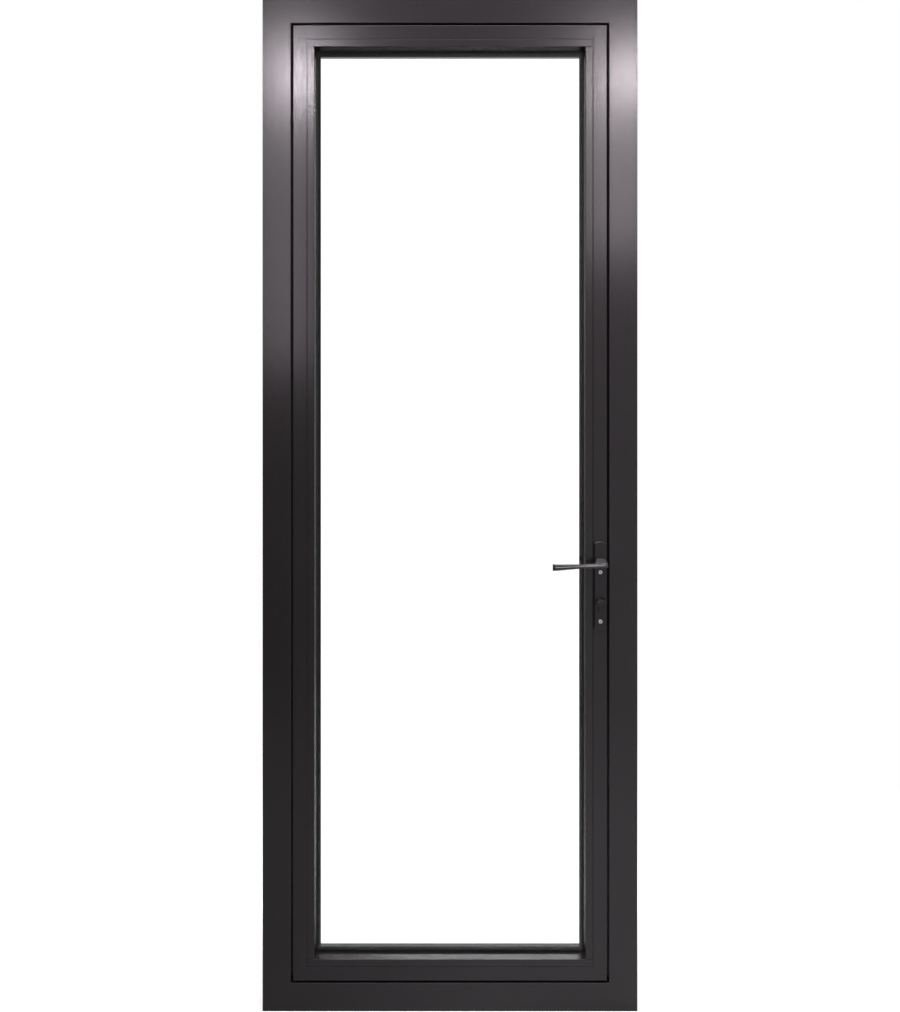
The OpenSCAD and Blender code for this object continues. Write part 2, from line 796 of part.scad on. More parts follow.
module leaf_hinge_stile() {
  color(coat) difference() {
    leaf_member(3);
    for (z = hinge_zs) for (s = [-1, 1])
      rod_y(shank_r + shank_clear, hinge_x + screw_out, z + s * hinge_screw_z, y_out - wall - over,
        y_out + over);
  }
}

// Outline of the lock cylinder in X and Z, widened by free
module cylinder2(free) {
  circle(cyl_r + free);
  translate([-stem_w / 2 - free, -cyl_foot + stem_w / 2]) square([stem_w + 2 * free, cyl_foot - stem_w / 2]);
  translate([0, -cyl_foot + stem_w / 2]) circle(stem_w / 2 + free);
}

module leaf_lock_stile() {
  color(coat) difference() {
    leaf_member(1);
    rod_y(journal_r + bolt_clear, spindle_x, spindle_z, y_in - over, y_out + over);
    along_y(spindle_x, cyl_z, y_in - over, y_out + over) cylinder2(bolt_clear);
    for (z = screw_zs) rod_y(shank_r + shank_clear, spindle_x, z, y_in - over, y_out + over);
    box3(case_back, forend_x + over, case_in_y - bolt_clear, case_out_y + bolt_clear, case_low - bolt_clear,
      case_high + bolt_clear);
    for (z = forend_screw_zs()) rod_x(shank_r + shank_clear, hw_y, z, forend_x - wall - over, edge_x);
  }
}

module leaf_corner_cleats() {
  color(raw_alu) cleats(leaf_w, leaf_h, leaf_z, hw_d + wall, rebate_u - wall, step_y + wall, hw_top);
}

module pane(y0, y1) {
  color(clear_glass)
    box3(glass_u - leaf_w / 2, leaf_w / 2 - glass_u, y0, y1, leaf_z + glass_u, leaf_z + leaf_h - glass_u);
}

module inner_pane() {
  pane(pane_in_y, pane_in_y + pane_t);
}

module outer_pane() {
  pane(pane_out_y - pane_t, pane_out_y);
}

module glass_sealant() {
  color(dark_rubber) leaf_loop(glass_u, glass_u + sealant_h, pane_in_y + pane_t, pane_out_y - pane_t);
}

module glass_spacer() {
  color(raw_alu) difference() {
    leaf_loop(glass_u + sealant_h, glass_u + sealant_h + spacer_h, pane_in_y + pane_t, pane_out_y - pane_t);
    leaf_loop(glass_u + sealant_h + wall, glass_u + sealant_h + spacer_h - wall, pane_in_y + pane_t + wall,
      pane_out_y - pane_t - wall);
  }
}

module setting_blocks() {
  low = leaf_z + rebate_u;
  quarter = (leaf_w - 2 * glass_u) / 4;
  side_x = leaf_w / 2 - glass_u;
  color(nylon) {
    for (s = [-1, 1])
      box3(s * quarter - block_len / 2, s * quarter + block_len / 2, pane_in_y, pane_out_y, low,
        low + glass_edge);
    box3(-side_x - glass_edge, -side_x, pane_in_y, pane_out_y, low + 2 * block_len, low + 3 * block_len);
    box3(side_x, side_x + glass_edge, pane_in_y, pane_out_y, leaf_z + leaf_h - rebate_u - 3 * block_len,
      leaf_z + leaf_h - rebate_u - 2 * block_len);
  }
}

// Section of a bead, from the leaf's outer edge inwards
module bead_section() {
  foot = clip_w / 2 - clip_clear;
  low = rebate_u - clip_deep + clip_clear;
  heel = rebate_u + bead_joint;
  difference() {
    union() {
      polygon(rounded(
        [[heel, y_in], [edge_u, y_in], [back_u, bead_y], [heel + bead_heel, bead_y],
          [heel, bead_y - bead_heel]],
        [joint_r, edge_r, 0, 0, 0]));
      box2(low, heel + bead_wall / 2, clip_y - foot, clip_y + foot);
      box2(low, low + clip_deep / 2 - 2 * clip_clear, clip_y - foot - clip_hook, clip_y);
    }
    polygon([[heel + bead_wall, y_in + bead_wall], [edge_u - bead_wall, y_in + bead_wall],
      [back_u - 1.2 * bead_wall, bead_y - bead_wall], [heel + bead_heel + bead_wall / 2, bead_y - bead_wall],
      [heel + bead_wall, bead_y - bead_heel - bead_wall / 2]]);
  }
}

module bead_across(side) {
  run = leaf_w - 2 * (rebate_u + bead_joint);
  color(coat) to_side(side, leaf_w, leaf_h, leaf_z)
    translate([0, 0, rebate_u + bead_joint]) linear_extrude(run) bead_section();
}

// Side bead, with its ends coped to the slope of the beads that run across
module bead_upright(side) {
  lean = bead_slope / bead_depth;
  near = edge_u + bead_joint - lean * over;
  far = back_u + bead_joint + lean * over;
  color(coat) to_side(side, leaf_w, leaf_h, leaf_z) intersection() {
    linear_extrude(leaf_h) bead_section();
    rotate([90, 0, 90]) linear_extrude(leg_u)
      polygon([[y_in - over, near], [bead_y + over, far], [bead_y + over, leaf_h - far],
        [y_in - over, leaf_h - near]]);
  }
}

module bead_top() {
  bead_across(2);
}

module bead_bottom() {
  bead_across(0);
}

module bead_hinge_side() {
  bead_upright(3);
}

module bead_lock_side() {
  bead_upright(1);
}

module inner_gasket() {
  color(dark_rubber) {
    leaf_loop(glass_u + wall, back_u, bead_y, pane_in_y);
    leaf_loop(glass_u + wall, back_u + gasket_lip, pane_in_y - lip_t, pane_in_y);
  }
}

module outer_gasket() {
  color(dark_rubber) {
    foot_loop(leaf_w, leaf_h, leaf_z, gasket_u, leg_y, 1);
    leaf_loop(glass_u + wall, leg_u, pane_out_y, leg_y);
    leaf_loop(glass_u + wall, leg_u + gasket_lip, pane_out_y, pane_out_y + lip_t);
  }
}

function forend_screw_zs() = [forend_low + 2 * head_r, forend_high - 2 * head_r];

module lock_case() {
  color(bare_metal) {
    difference() {
      box3(case_back, forend_x, case_in_y, case_out_y - case_wall, case_low, case_high);
      box3(case_back + case_wall, forend_x - case_wall, case_in_y + case_wall, case_out_y,
        case_low + case_wall, case_high - case_wall);
      case_holes();
      bolt_room(forend_x - case_wall - over, forend_x + over, bolt_clear);
      rod_x(shank_r + shank_clear, hw_y, fix_z, forend_x - case_wall - over, forend_x + over);
    }
    box3(dead_left, dead_back - bolt_clear, case_in_y + case_wall / 2, bolt_high_y,
      dead_tail_high + bolt_clear, dead_tail_high + bolt_clear + case_wall);
  }
}

// Holes through both sides of the lock case
module case_holes() {
  rod_y(journal_r + fit, spindle_x, spindle_z, case_in_y - over, case_out_y + over);
  along_y(spindle_x, cyl_z, case_in_y - over, case_out_y + over) cylinder2(bolt_clear);
  rod_y(shank_r + shank_clear, spindle_x, screw_zs[0], case_in_y - over, case_out_y + over);
}

module lock_cover() {
  color(bare_metal) difference() {
    box3(case_back, forend_x, case_out_y - case_wall, case_out_y, case_low, case_high);
    case_holes();
  }
}

module lock_forend() {
  color(bare_metal) difference() {
    box3(forend_x, edge_x, hw_low + bolt_clear, hw_top - bolt_clear, forend_low, forend_high);
    bolt_room(forend_x - over, edge_x + over, bolt_clear);
    for (z = forend_screw_zs()) translate([edge_x, hw_y, z]) rotate([0, 90, 0]) screw_room(short_screw);
    translate([edge_x, hw_y, fix_z]) rotate([0, 90, 0]) screw_room(short_screw);
  }
}

module forend_screws() {
  color(bare_metal) for (z = forend_screw_zs())
    translate([edge_x, hw_y, z]) rotate([0, 90, 0]) screw(short_screw);
}

module cylinder_body() {
  color(brass) difference() {
    along_y(spindle_x, cyl_z, plate_y - cyl_out, -plate_y + cyl_out) cylinder2(0);
    rod_y(plug_r + fit, spindle_x, cyl_z, plate_y - cyl_out - over, -plate_y + cyl_out + over);
    box3(spindle_x - cyl_r - over, spindle_x + cyl_r + over, hw_y - cam_space / 2, hw_y + cam_space / 2,
      cyl_z - cyl_r - bolt_clear, cyl_z + cyl_r + over);
    rod_x(shank_r + shank_clear, hw_y, fix_z, spindle_x - stem_w, spindle_x + stem_w);
  }
}

module key_plug() {
  low = hw_y + cam_space / 2;
  high = -plate_y + cyl_out;
  color(brass) difference() {
    rod_y(plug_r, spindle_x, cyl_z, low, high);
    box3(spindle_x - cross_w, spindle_x + cross_w, high - 5 * cyl_r / 2, high + over, cyl_z - 0.7 * plug_r,
      cyl_z + 0.7 * plug_r);
  }
}

module cylinder_screw() {
  color(bare_metal) translate([edge_x, hw_y, fix_z]) rotate([0, 90, 0])
    screw(edge_x - spindle_x + stem_w / 2);
}

// Outline of a backplate in X and Z round the spindle, drawn in by inset
module plate2(inset) {
  half = plate_w / 2 - inset;
  round_r = (half * half + plate_arch * plate_arch) / (2 * plate_arch);
  up = plate_up - inset;
  down = plate_down - inset;
  intersection() {
    box2(-half, half, -down, up);
    translate([0, up - round_r]) union() {
      circle(round_r, $fn = 96);
      box2(-half, half, -down - up, 0);
    }
    translate([0, round_r - down]) union() {
      circle(round_r, $fn = 96);
      box2(-half, half, 0, down + up);
    }
  }
}

module plate_body() {
  translate([spindle_x, y_in, spindle_z]) rotate([90, 0, 0]) hull() {
    linear_extrude(plate_t - plate_soft) plate2(0);
    linear_extrude(plate_t - plate_soft / 3) plate2(plate_soft / 3);
    linear_extrude(plate_t) plate2(plate_soft);
  }
}

// Bores that both backplates share, drawn on the inside
module plate_bores() {
  rod_y(bush_hole_r + spring_wire, spindle_x, spindle_z, y_in - spring_recess, y_in + over);
  along_y(spindle_x, cyl_z, plate_y - over, y_in + over) cylinder2(bolt_clear);
}

module inside_backplate() {
  color(coat) difference() {
    plate_body();
    plate_bores();
    rod_y(bush_hole_r, spindle_x, spindle_z, plate_y - over, y_in + over);
    box3(spindle_x - 2 * spring_wire, spindle_x + 2 * spring_wire, y_in - spring_recess, y_in + over,
      spindle_z, spindle_z + bush_hole_r + 5 * spring_wire);
    for (z = screw_zs) translate([spindle_x, plate_y, z]) rotate([90, 0, 0]) screw_room(2 * plate_t);
  }
}

module outside_backplate() {
  color(coat) mirror([0, 1, 0]) difference() {
    plate_body();
    plate_bores();
    rod_y(stud_r + fit, spindle_x, spindle_z, plate_y - over, y_in + over);
    for (z = screw_zs)
      rod_y(shank_r + shank_clear, spindle_x, z, y_in - 2 * plate_t / 3 - shank_clear, y_in + over);
  }
}

module backplate_screws() {
  color(bare_metal) for (z = screw_zs)
    translate([spindle_x, plate_y, z]) rotate([90, 0, 0]) socket_screw(y_out - plate_y + 2 * plate_t / 3);
}

// Fixed knob, turned from one bar with the stud that holds it
module outside_knob() {
  rim = 0.5 * knob_head;
  shoulder = knob_foot - knob_neck;
  dome = [for (i = [0 : 2 * arc_steps])
      let (a = 45 * i / arc_steps)
      [knob_r * cos(a), knob_back + rim + (knob_head - rim) * sin(a)]];
  stem = rounded(
    [[knob_foot, 0], [knob_foot, shoulder], [knob_neck, shoulder], [knob_neck, knob_back],
      [knob_r, knob_back + rim / 2]],
    [0, shoulder / 2, shoulder / 3, shoulder, 0]);
  color(coat) translate([spindle_x, -plate_y, spindle_z]) rotate([-90, 0, 0]) {
    rotate_extrude() polygon(concat([[0, 0]], stem, dome));
    translate([0, 0, bolt_clear - plate_t]) cylinder(r = stud_r, h = plate_t);
  }
}

module knob_nut() {
  color(bare_metal) translate([spindle_x, y_out + spring_recess, spindle_z]) rotate([90, 0, 0]) difference() {
    cylinder(r = nut_r, h = nut_h, $fn = 6);
    translate([0, 0, -over]) cylinder(r = stud_r + fit, h = nut_h + 2 * over);
  }
}

module lever_bush() {
  color(nylon) difference() {
    rod_y(bush_hole_r, spindle_x, spindle_z, plate_y, y_in - spring_recess);
    rod_y(neck_r + fit, spindle_x, spindle_z, plate_y - over, y_in);
  }
}

// Spring with one leg in the backplate and one in the lever's neck
module return_spring() {
  n = turn_points * return_turns;
  low = ring_y + ring_t + bolt_clear + spring_wire;
  high = y_in - bolt_clear - spring_wire;
  rise = (high - low) / n;
  coil = [for (i = [0 : n])
      let (a = 90 + 360 * i / turn_points)
      [spring_mid_r * cos(a), low + rise * i, spring_mid_r * sin(a)]];
  a_end = 90 + 360 * return_turns;
  inner = neck_r - 3 * spring_wire;
  leg_in = [inner * cos(a_end), high, inner * sin(a_end)];
  leg_out = [0, low, bush_hole_r + 3 * spring_wire];
  color(bare_metal) translate([spindle_x, 0, spindle_z])
    tube(concat([leg_out], coil, [leg_in]), [0, 1, 0], spring_wire);
}

// Slice of the lever's bar at a share of its length
module bar_slice(station) {
  half = station[1] * bar_h;
  drop = station[2] * bar_h;
  deep = station[3] * bar_t;
  translate([spindle_x - station[0] * lever_len, 0, spindle_z - drop]) rotate([90, 0, 90])
    linear_extrude(slice)
      polygon([for (s = section_shares) [bar_back_y - s[0] * deep, s[1] * half]]);
}

// Slice of the neck's block in front of the backplate
module block_slice() {
  x = block_x / 2;
  z = block_z / 2;
  along_y(spindle_x, spindle_z, block_y - slice, block_y)
    polygon(rounded([[-x, -z], [x, -z], [x, z], [-x, z]], [edge_r, edge_r, edge_r, edge_r]));
}

module inside_lever() {
  leg_a = 90 + 360 * return_turns;
  color(coat) difference() {
    union() {
      rod_y(neck_r, spindle_x, spindle_z, block_y - slice, y_in - bolt_clear);
      hull() {
        block_slice();
        for (s = hub_shares) bar_slice(s);
      }
      for (i = [1 : len(bar_shares) - 1]) hull() {
        bar_slice(bar_shares[i - 1]);
        bar_slice(bar_shares[i]);
      }
    }
    box3(spindle_x - spindle_w / 2 - fit, spindle_x + spindle_w / 2 + fit, y_in - spindle_in - fit, y_in,
      spindle_z - spindle_w / 2 - fit, spindle_z + spindle_w / 2 + fit);
    rod_z(grub_r + fit, spindle_x, plate_y - 2 * plate_t / 3, spindle_z - block_z, spindle_z);
    ring_room(neck_r + over, neck_r - ring_deep, fit);
    translate([spindle_x, 0, spindle_z]) rotate([0, -leg_a, 0])
      box3(neck_r - 4 * spring_wire, neck_r + over, y_in - spring_recess, y_in, -2 * spring_wire,
        2 * spring_wire);
  }
}

// Ring round the neck behind its bush, from radius low to high
module ring_room(high, low, free) {
  difference() {
    rod_y(high, spindle_x, spindle_z, ring_y - free, ring_y + ring_t + free);
    rod_y(low, spindle_x, spindle_z, ring_y - over, ring_y + ring_t + over);
  }
}

module lever_circlip() {
  color(bare_metal) difference() {
    ring_room(neck_r + ring_deep, neck_r - ring_deep + fit, 0);
    box3(spindle_x, spindle_x + 2 * neck_r, ring_y - over, ring_y + ring_t + over, spindle_z - spindle_w / 2,
      spindle_z + spindle_w / 2);
  }
}

module spindle() {
  color(bare_metal)
    box3(spindle_x - spindle_w / 2, spindle_x + spindle_w / 2, y_in - spindle_in, y_out - wall,
      spindle_z - spindle_w / 2, spindle_z + spindle_w / 2);
}

module grub_screw() {
  color(bare_metal)
    rod_z(grub_r, spindle_x, plate_y - 2 * plate_t / 3, spindle_z - 0.95 * neck_r, spindle_z - spindle_w / 2);
}

module follower() {
  low = case_in_y + case_wall + bolt_clear;
  high = case_out_y - case_wall - bolt_clear;
  color(bare_metal) translate([spindle_x, 0, spindle_z]) difference() {
    union() {
      rod_y(hub_r, 0, 0, low, high);
      rod_y(journal_r, 0, 0, case_in_y, case_out_y);
      rotate([0, arm_lean, 0]) {
        box3(-arm_tip, arm_tip, bolt_low_y, bolt_high_y, 0, arm_r);
        rod_y(arm_tip, 0, arm_r, bolt_low_y, bolt_high_y);
      }
    }
    box3(-spindle_w / 2 - fit, spindle_w / 2 + fit, case_in_y - over, case_out_y + over, -spindle_w / 2 - fit,
      spindle_w / 2 + fit);
  }
}

module latch_bolt() {
  tip = edge_x + latch_out;
  bevel = bolt_t - case_wall;
  color(bare_metal) {
    translate([0, 0, latch_low]) linear_extrude(latch_h)
      polygon([[latch_back, bolt_low_y], [tip - bevel, bolt_low_y], [tip, bolt_high_y - case_wall],
        [tip, bolt_high_y], [latch_back, bolt_high_y]]);
    box3(lug_x - lug_w, latch_back + over, bolt_low_y, bolt_high_y, tail_low, tail_high);
    box3(lug_x - lug_w, lug_x, bolt_low_y, bolt_high_y, spindle_z + arm_r * lug_share, tail_high);
    box3(spring_end_x, latch_back + over, bolt_low_y, bolt_high_y, tail_low,
      case_high - case_wall - bolt_clear);
  }
}

module latch_spring() {
  start = case_back + case_wall + spring_wire;
  n = latch_turns * turn_points;
  rise = (spring_end_x - spring_wire - start) / n;
  color(bare_metal) translate([0, hw_y, spring_z])
    tube([for (i = [0 : n])
        let (a = 360 * i / turn_points)
        [start + rise * i, spring_coil_r * cos(a), spring_coil_r * sin(a)]], [1, 0, 0], spring_wire);
}

// Wing of the thumb-turn in X and Z, drawn in by inset
module turn2(inset) {
  for (s = [-1, 1]) translate([s * (turn_len - turn_w) / 2, 0]) circle(turn_w / 2 - inset);
}

module thumb_turn() {
  front = plate_y - cyl_out - bolt_clear;
  color(coat) {
    rod_y(plug_r, spindle_x, cyl_z, front - over, hw_y - cam_space / 2);
    box3(spindle_x - plug_r / 2, spindle_x + plug_r / 2, hw_y - cam_space / 2 - over, hw_y,
      cyl_z - plug_r / 2, cyl_z + plug_r / 2);
    translate([spindle_x, front, cyl_z]) rotate([90, -turn_tilt, 0]) {
      cylinder(r = cyl_r, h = cyl_out);
      hull() {
        linear_extrude(turn_out - cyl_out) turn2(cyl_out / 4);
        translate([0, 0, cyl_out]) linear_extrude(turn_out - 2 * cyl_out) turn2(0);
        linear_extrude(turn_out) turn2(0.6 * cyl_out);
      }
    }
  }
}

module cylinder_cam() {
  low = hw_y - bolt_t / 2;
  high = hw_y + bolt_t / 2;
  key = plug_r / 2 + fit;
  color(brass) translate([spindle_x, 0, cyl_z]) difference() {
    union() {
      rod_y(cam_disc_r, 0, 0, low, high);
      rotate([0, -45, 0]) {
        box3(-cam_tip * finger_share, cam_tip * finger_share, low, high, 0, cam_r);
        rod_y(cam_tip, 0, cam_r, low, high);
      }
    }
    box3(-key, key, low - over, hw_y + fit, -key, key);
  }
}

module deadbolt() {
  color(bare_metal) {
    box3(dead_back, edge_x - bolt_clear, bolt_low_y, bolt_high_y, fork_low, dead_high);
    difference() {
      box3(dead_left, dead_back + over, bolt_low_y, bolt_high_y, fork_low, dead_tail_high);
      box3(cam_x - fork_half, cam_x + fork_half, bolt_low_y - over, bolt_high_y + over, fork_low - over,
        fork_top);
      box3(cam_x + fork_half + cam_tip, dead_back, bolt_low_y - over, bolt_high_y + over, fork_low - over,
        fork_top);
    }
  }
}

frame_head();
frame_sill();
frame_hinge_jamb();
frame_lock_jamb();
frame_corner_cleats();
frame_seal();
strike_plate();
strike_screws();
hinge_frame_wing_bottom();
hinge_frame_wing_middle();
hinge_frame_wing_top();
hinge_pin_bottom();
hinge_pin_middle();
hinge_pin_top();
hinge_frame_screws();
leaf_top_rail();
leaf_bottom_rail();
leaf_hinge_stile();
leaf_lock_stile();
leaf_corner_cleats();
inner_pane();
outer_pane();
glass_spacer();
glass_sealant();
setting_blocks();
bead_top();
bead_bottom();
bead_hinge_side();
bead_lock_side();
inner_gasket();
outer_gasket();
hinge_leaf_wing_bottom();
hinge_leaf_wing_middle();
hinge_leaf_wing_top();
hinge_bushes();
hinge_leaf_screws();
lock_case();
lock_cover();
lock_forend();
forend_screws();
cylinder_body();
key_plug();
cylinder_screw();
inside_backplate();
outside_backplate();
backplate_screws();
lever_bush();
return_spring();
outside_knob();
knob_nut();
inside_lever();
lever_circlip();
spindle();
follower();
grub_screw();
latch_bolt();
latch_spring();
thumb_turn();
cylinder_cam();
deadbolt();
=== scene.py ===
import json
import math

import bmesh
import bpy
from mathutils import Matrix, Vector


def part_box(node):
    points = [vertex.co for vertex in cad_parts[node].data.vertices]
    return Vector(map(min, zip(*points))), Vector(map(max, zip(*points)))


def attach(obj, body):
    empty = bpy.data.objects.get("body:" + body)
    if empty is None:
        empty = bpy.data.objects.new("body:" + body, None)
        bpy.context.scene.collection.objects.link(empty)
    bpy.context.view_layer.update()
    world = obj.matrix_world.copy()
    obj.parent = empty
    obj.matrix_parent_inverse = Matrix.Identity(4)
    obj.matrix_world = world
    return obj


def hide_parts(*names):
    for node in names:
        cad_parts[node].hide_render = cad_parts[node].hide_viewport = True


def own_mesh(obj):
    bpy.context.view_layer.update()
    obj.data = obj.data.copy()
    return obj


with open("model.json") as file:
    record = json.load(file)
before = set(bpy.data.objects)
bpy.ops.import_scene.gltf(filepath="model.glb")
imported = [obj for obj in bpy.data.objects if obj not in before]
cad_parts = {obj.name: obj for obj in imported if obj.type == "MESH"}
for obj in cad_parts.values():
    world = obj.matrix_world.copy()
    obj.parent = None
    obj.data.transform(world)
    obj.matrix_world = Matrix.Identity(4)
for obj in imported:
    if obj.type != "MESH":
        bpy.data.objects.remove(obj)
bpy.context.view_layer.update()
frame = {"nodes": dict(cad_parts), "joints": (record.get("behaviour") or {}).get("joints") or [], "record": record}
nodes = frame["nodes"]
joints = {j["name"]: j for j in frame["joints"]}


# Node helpers

# Middle of a noise's range, which holds most of it
NOISE_SPAN = (0.3, 0.7)


def feed(tree, source, target):
    """Link an input to another node's output, or set it to a plain value."""
    if isinstance(source, bpy.types.NodeSocket):
        tree.links.new(source, target)
    else:
        target.default_value = source


def calc(tree, operation, *values):
    node = tree.nodes.new("ShaderNodeMath")
    node.operation = operation
    for source, target in zip(values, node.inputs):
        feed(tree, source, target)
    return node.outputs["Value"]


def map_range(tree, value, span, result):
    """A value carried from one span to another and held at its ends."""
    node = tree.nodes.new("ShaderNodeMapRange")
    names = ("Value", "From Min", "From Max", "To Min", "To Max")
    for name, source in zip(names, (value, *span, *result)):
        feed(tree, source, node.inputs[name])
    return node.outputs["Result"]


def mixed(tree, share, first, second):
    mix = tree.nodes.new("ShaderNodeMixShader")
    for source, target in zip((share, first, second), mix.inputs):
        tree.links.new(source, target)
    return mix.outputs["Shader"]


def position(tree, space):
    """A place in an object's space, or a direction in the world's, whole and as X, Y and Z."""
    where = tree.nodes.new("ShaderNodeTexCoord")
    split = tree.nodes.new("ShaderNodeSeparateXYZ")
    tree.links.new(where.outputs[space], split.inputs["Vector"])
    return where.outputs[space], split.outputs


def coords(tree, scale=(1, 1, 1)):
    where = tree.nodes.new("ShaderNodeTexCoord")
    move = tree.nodes.new("ShaderNodeMapping")
    move.inputs["Scale"].default_value = scale
    tree.links.new(where.outputs["Object"], move.inputs["Vector"])
    return move.outputs["Vector"]


def noise(tree, vector, scale, detail, rough):
    node = tree.nodes.new("ShaderNodeTexNoise")
    node.inputs["Scale"].default_value = scale
    node.inputs["Detail"].default_value = detail
    node.inputs["Roughness"].default_value = rough
    tree.links.new(vector, node.inputs["Vector"])
    return node.outputs["Fac"]


def ramp(tree, fac, low, high):
    node = tree.nodes.new("ShaderNodeValToRGB")
    for element, place, colour in zip(node.color_ramp.elements, NOISE_SPAN, (low, high)):
        element.position = place
        element.color = (*colour, 1)
    tree.links.new(fac, node.inputs["Fac"])
    return node.outputs["Color"]


def spread(tree, fac, low, high):
    return map_range(tree, fac, NOISE_SPAN, (low, high))


def bumped(tree, shader, height, strength, distance, edge=0.0):
    """Bump on a shader, with edges that look rounded by a radius of edge."""
    bump = tree.nodes.new("ShaderNodeBump")
    bump.inputs["Strength"].default_value = strength
    bump.inputs["Distance"].default_value = distance
    tree.links.new(height, bump.inputs["Height"])
    if edge:
        soft = tree.nodes.new("ShaderNodeBevel")
        soft.samples = 4
        soft.inputs["Radius"].default_value = edge
        tree.links.new(soft.outputs["Normal"], bump.inputs["Normal"])
    tree.links.new(bump.outputs["Normal"], shader.inputs["Normal"])


# Materials

# Faint violet cast of the black coat's reflections
COAT_SHEEN = (1, 0.93, 1, 1)
# How far the roughness of each kind of surface varies
COAT_VARIES = 0.04
METAL_VARIES = 0.08
RUBBER_VARIES = 0.06
# How close the fine lines of bare metal lie along X, Y and Z
LINES_CLOSE_Z = (1, 1, 14)
LINES_Z = (1, 1, 10)
LINES_Y = (1, 10, 1)
EVEN = (1, 1, 1)
# Small rounding of metal edges
METAL_EDGE = 0.0003


def new_material(name):
    mat = bpy.data.materials.new(name)
    mat.use_nodes = True
    tree = mat.node_tree
    tree.nodes.clear()
    out = tree.nodes.new("ShaderNodeOutputMaterial")
    shader = tree.nodes.new("ShaderNodeBsdfPrincipled")
    tree.links.new(shader.outputs["BSDF"], out.inputs["Surface"])
    return mat, tree, shader


def powder_coat(name, low, high, rough, edge):
    mat, tree, shader = new_material(name)
    at = coords(tree)
    cloud = noise(tree, at, scale=3.0, detail=4.0, rough=0.6)
    grain = noise(tree, at, scale=900.0, detail=3.0, rough=0.6)
    gloss = spread(tree, grain, rough - COAT_VARIES, rough + COAT_VARIES)
    tree.links.new(ramp(tree, cloud, low, high), shader.inputs["Base Color"])
    tree.links.new(gloss, shader.inputs["Roughness"])
    shader.inputs["Specular Tint"].default_value = COAT_SHEEN
    bumped(tree, shader, grain, strength=0.1, distance=0.0002, edge=edge)
    return mat


def metal(name, low, high, rough, stretch, edge=0.0):
    mat, tree, shader = new_material(name)
    at = coords(tree, stretch)
    lines = noise(tree, at, scale=60.0, detail=4.0, rough=0.65)
    gloss = spread(tree, lines, rough - METAL_VARIES, rough + METAL_VARIES)
    tree.links.new(ramp(tree, lines, low, high), shader.inputs["Base Color"])
    tree.links.new(gloss, shader.inputs["Roughness"])
    shader.inputs["Metallic"].default_value = 1.0
    bumped(tree, shader, lines, strength=0.1, distance=0.0001, edge=edge)
    return mat


def rubber(name, low, high, rough):
    mat, tree, shader = new_material(name)
    at = coords(tree)
    grain = noise(tree, at, scale=500.0, detail=3.0, rough=0.6)
    cloud = noise(tree, at, scale=12.0, detail=3.0, rough=0.6)
    gloss = spread(tree, grain, rough - RUBBER_VARIES, rough + RUBBER_VARIES)
    tree.links.new(ramp(tree, cloud, low, high), shader.inputs["Base Color"])
    tree.links.new(gloss, shader.inputs["Roughness"])
    shader.inputs["Specular IOR Level"].default_value = 0.35
    bumped(tree, shader, grain, strength=0.15, distance=0.0002)
    return mat


def pane_glass(name, low, high):
    mat, tree, shader = new_material(name)
    at = coords(tree)
    wave = noise(tree, at, scale=1.5, detail=2.0, rough=0.5)
    tree.links.new(ramp(tree, wave, low, high), shader.inputs["Base Color"])
    tree.links.new(spread(tree, wave, 0.0, 0.002), shader.inputs["Roughness"])
    shader.inputs["Transmission Weight"].default_value = 1.0
    shader.inputs["IOR"].default_value = 1.46
    return mat


coat = powder_coat("coat", (0.0080, 0.0066, 0.0074), (0.0105, 0.0088, 0.0098), rough=0.20, edge=0.0006)
handle_coat = powder_coat("handle_coat", (0.0068, 0.0058, 0.0065), (0.0090, 0.0078, 0.0087),
                          rough=0.24, edge=0.0022)
lever_coat = powder_coat("lever_coat", (0.0180, 0.0164, 0.0172), (0.0225, 0.0206, 0.0216),
                         rough=0.26, edge=0.0003)
mill = metal("mill", (0.50, 0.51, 0.52), (0.62, 0.63, 0.64), rough=0.36, stretch=LINES_CLOSE_Z)
steel = metal("steel", (0.52, 0.52, 0.51), (0.66, 0.66, 0.65),
              rough=0.30, stretch=LINES_Z, edge=METAL_EDGE)
brass = metal("brass", (0.62, 0.50, 0.25), (0.74, 0.61, 0.33),
              rough=0.28, stretch=LINES_Y, edge=METAL_EDGE)
bright_steel = metal("bright_steel", (0.74, 0.74, 0.73), (0.86, 0.86, 0.85),
                     rough=0.24, stretch=EVEN, edge=METAL_EDGE)
dark_steel = metal("dark_steel", (0.07, 0.07, 0.07), (0.13, 0.13, 0.13),
                   rough=0.38, stretch=EVEN, edge=METAL_EDGE)
# Painted shade: near-black finish of the cups that darken the screw sockets
socket = metal("socket", (0.02, 0.02, 0.02), (0.05, 0.05, 0.05), rough=0.5, stretch=EVEN)
seal = rubber("seal", (0.008, 0.008, 0.008), (0.014, 0.014, 0.014), rough=0.62)
nylon = rubber("nylon", (0.012, 0.012, 0.012), (0.020, 0.020, 0.020), rough=0.50)
pane = pane_glass("pane", (0.97, 0.985, 0.978), (0.985, 0.995, 0.99))

# Finish of each material slot, and of the nodes that differ from their slot
slots = {
    "coat": coat,
    "mill": mill,
    "steel": steel,
    "brass": brass,
    "seal": seal,
    "nylon": nylon,
    "pane": pane,
}
own_finish = {
    "inside_backplate": handle_coat,
    "outside_backplate": handle_coat,
    "thumb_turn": handle_coat,
    "cylinder_body": handle_coat,
    "hinge_frame_screws": dark_steel,
    "hinge_leaf_screws": dark_steel,
    "backplate_screws": bright_steel,
}


def paint(obj, mat):
    obj.data.materials.clear()
    obj.data.materials.append(mat)


for part in frame["record"]["subparts"]:
    paint(nodes[part["node"]], own_finish.get(part["node"], slots[part["material_slot"]]))


# Mesh helpers

# Edges sharper than this stay sharp, in degrees
SHARP_ANGLE = 35


